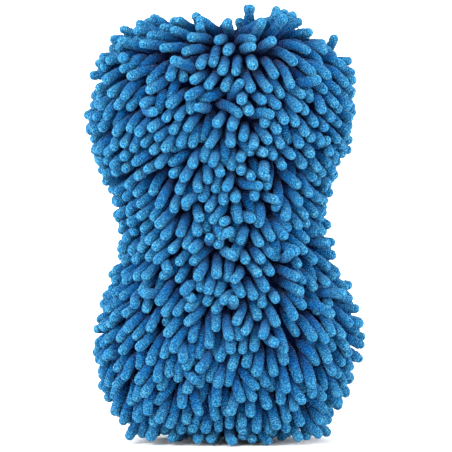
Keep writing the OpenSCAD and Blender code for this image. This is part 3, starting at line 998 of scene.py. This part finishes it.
def strap_tab(name, side, material):
    """Sewn end of the strap, folded over at its outer edge."""
    lo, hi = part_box(f"strap_tab_{name}")
    y, mid = (lo.y + hi.y) / 2, (lo.z + hi.z) / 2
    near, far = sorted((abs(lo.x), abs(hi.x)))
    line = evenly([(side * near, y, mid), (side * far, y, mid)], 0.3 * MM)
    wide, thick, ends = hi.z - lo.z, hi.y - lo.y, (0, 0.9 * MM)
    obj = ribbon(f"strap_end_{name}", line, (0, 0, -side), wide, thick, ELASTIC_COLUMNS, elastic_relief, ends)
    place(obj, material, "elastic", f"strap_tab_{name}")


def grosgrain_relief(along, across):
    """Ribs straight across a tape."""
    return 0.06 * MM * np.cos(along * 2 * math.pi / (0.95 * MM)) + 0 * across


def hanging_loop(material):
    """Tape that leaves its tab, runs down round an eye and back up."""
    lo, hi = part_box("hang_loop")
    tape = 1.15 * MM
    y, eye_r = (lo.y + hi.y) / 2, (hi.y - lo.y) / 2 - tape / 2
    eye_z, top = lo.z + eye_r + tape / 2, hi.z - 0.5 * MM

    # Down one leg, round the eye and up the other, with the legs leaning in to the tab
    lean = math.radians(8)
    turn = np.linspace(lean, -math.pi - lean, 60)
    eye = np.stack([0 * turn, y + eye_r * np.cos(turn), eye_z + eye_r * np.sin(turn)], 1)
    t = np.linspace(0, 1, 30)[:-1]
    leg_y = tape * 0.53 + (eye_r * math.cos(lean) - tape * 0.53) * (0.75 * t + 0.25 * t**2)
    leg_z = top + (eye[0, 2] - top) * t
    down = np.stack([0 * t, y + leg_y, leg_z], 1)
    up = np.stack([0 * t, y - leg_y, leg_z], 1)[::-1]
    line = evenly(np.concatenate([down, eye, up]), 0.15 * MM)
    ends = (0.5 * MM, 0.5 * MM)
    obj = ribbon("hanging_loop", line, (1, 0, 0), hi.x - lo.x, tape, 19, grosgrain_relief, ends)
    place(obj, material, "loop_tape", "hang_loop", body="loop")
    place(tab_block("loop_end", "hang_loop_tab", grosgrain_relief), material, "loop_tape", "hang_loop_tab")


def tab_block(name, node, relief=None):
    """Sewn end of a tape or label, which comes straight out of the binding."""
    lo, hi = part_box(node)
    x, z = (lo.x + hi.x) / 2, (lo.z + hi.z) / 2
    line = evenly([(x, lo.y, z), (x, hi.y, z)], 0.15 * MM)
    rounded = 0.4 * MM
    return ribbon(name, line, (1, 0, 0), hi.x - lo.x, hi.z - lo.z, 19, relief, (rounded, rounded))


def care_label():
    """Blank satin label, folded double at its lower end, that curls a little away from the back."""
    material = satin_material()
    lo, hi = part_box("care_label")
    layer, fold_r, curl = 0.3 * MM, 0.22 * MM, 3.2 * MM
    x, y = (lo.x + hi.x) / 2, (lo.y + hi.y) / 2
    long = hi.z - lo.z
    t = np.linspace(0, 1, 40)
    z = hi.z - 0.15 * MM + (lo.z + fold_r + layer / 2 - hi.z) * t
    turn = np.linspace(0, -math.pi, 9)[1:-1]
    fold = np.stack([x + 0 * turn, y + fold_r * np.cos(turn), z[-1] + fold_r * np.sin(turn)], 1)
    down = np.stack([x + 0 * t, y + fold_r + 0 * t, z], 1)
    up = np.stack([x + 0 * t, y - fold_r + 0 * t, z], 1)[::-1]
    line = evenly(np.concatenate([down, fold, up]), 0.35 * MM)

    def curled(points):
        far = np.clip((hi.z - points[..., 2]) / long, 0, 1)
        corner = (points[..., 0] - x) / (hi.x - x)
        lift = curl * far**2 * (1 + 0.35 * corner * far) + 0.25 * MM * np.sin(corner * 3 + far * 5) * far
        points[..., 1] += lift
        points[..., 2] += 0.12 * curl * far**3
        return points

    obj = ribbon("satin_label", line, (1, 0, 0), hi.x - lo.x, layer, 31, None, (0.2 * MM, 0.2 * MM), curled)
    place(obj, material, "label_satin", "care_label", body="label")
    place(tab_block("label_end", "care_label_tab"), material, "label_satin", "care_label_tab")


def back_side():
    """Everything but the noodles."""
    foam_and_front()
    back_panel()
    seam_binding()
    thread = thread_material()
    seam_stitches(thread)
    for side in ("left", "right"):
        bar_tacks(side, thread)
    hand_strap(woven_material("elastic", srgb(3, 3, 4), srgb(40, 41, 45), 0.75, 0.05, cord=ELASTIC_PITCH / MM))
    hanging_loop(woven_material("loop_tape", srgb(5, 5, 6), srgb(34, 35, 39), 0.6, 0.08, 0.75))
    care_label()


# ---------------------------------------------------------------- stage


def stage():
    """A white floor that curves up into a wall all round the mitt."""
    m = Material("paper")
    m.colour(m.ramp(m.noise(3, 2.0), [(0.0, (0.9, 0.9, 0.9)), (1.0, (0.94, 0.94, 0.94))]))
    m.set(Roughness=1.0, Specular_IOR_Level=0.0)
    floor_r, bend, height, sides = 2.2, 1.0, 4.5, 96
    line = [(0.6, 0.0), (floor_r, 0.0)]
    line += [
        (floor_r + bend * math.sin(a), bend - bend * math.cos(a)) for a in np.linspace(0.1, math.pi / 2, 14)
    ]
    line.append((floor_r + bend, height))
    turn = np.arange(sides) * 2 * math.pi / sides
    points = [(r * math.cos(a), r * math.sin(a), z) for r, z in line for a in turn] + [(0, 0, 0)]
    ring = [(j, (j + 1) % sides) for j in range(sides)]
    quads = [
        (k * sides + a, k * sides + b, (k + 1) * sides + b, (k + 1) * sides + a)
        for k in range(len(line) - 1)
        for a, b in ring
    ]
    centre = [(len(points) - 1, b, a) for a, b in ring]
    floor = mesh_from("floor", points, [q[::-1] for q in quads], centre)
    floor.data.shade_flat()
    floor.data.materials.append(m.mat)


def area_light(name, at, size, watts, aim=(0, 0, 0.12), spread=180):
    """A square light at a point, aimed at the middle of the mitt unless told otherwise."""
    light = bpy.data.lights.new(name, "AREA")
    light.shape = "SQUARE"
    light.size = size
    light.energy = watts
    light.spread = math.radians(spread)
    obj = bpy.data.objects.new(name, light)
    obj.location = at
    obj.rotation_euler = (Vector(aim) - Vector(at)).to_track_quat("-Z", "Y").to_euler()
    obj.visible_camera = False
    SCENE.collection.objects.link(obj)


def lights():
    """Softboxes on either side and above, low lights along the sides for the rims, and two that whiten the paper."""
    area_light("left_softbox", (-0.9, -1.1, 0.85), 0.6, 24)
    area_light("right_softbox", (1.1, -0.8, 0.6), 0.6, 11)
    area_light("top_softbox", (0, -0.25, 1.6), 0.8, 9)
    area_light("left_rim_light", (-1.3, 0.15, 0.35), 0.6, 17)
    area_light("right_rim_light", (1.3, 0.15, 0.35), 0.6, 15)
    area_light("back_softbox", (0.4, 1.3, 0.7), 0.8, 3)
    area_light("wall_light", (0, 1.2, 2.4), 2.5, 105, (0, 3.2, 0.8), spread=120)
    area_light("fore_light", (0, -2.4, 2.4), 2.5, 48, (0, -4.2, 0.6), spread=120)
    world = bpy.data.worlds.new("studio")
    world.use_nodes = True
    background = world.node_tree.nodes["Background"]
    background.inputs["Color"].default_value = (1, 1, 1, 1)
    background.inputs["Strength"].default_value = 0.16
    SCENE.world = world
    SCENE.view_settings.view_transform = "Standard"


def camera():
    """Level and straight on with a long lens, where the frame is 245 mm across just behind the foremost tips."""
    foremost = cad_box[0].y
    sees, behind_foremost = 0.245, 0.02
    aim_x, aim_z = 0.0008, 0.1195
    cam = bpy.data.cameras.new("camera")
    cam.lens = 150
    cam.sensor_width = 36
    distance = sees * cam.lens / cam.sensor_width
    cam.clip_start, cam.clip_end = 0.1, 20
    obj = bpy.data.objects.new("camera", cam)
    obj.location = (aim_x, foremost - distance + behind_foremost, aim_z)
    obj.rotation_euler = (math.pi / 2, 0, 0)
    SCENE.collection.objects.link(obj)
    SCENE.camera = obj


camera()
stage()
lights()
back_side()
chenille()
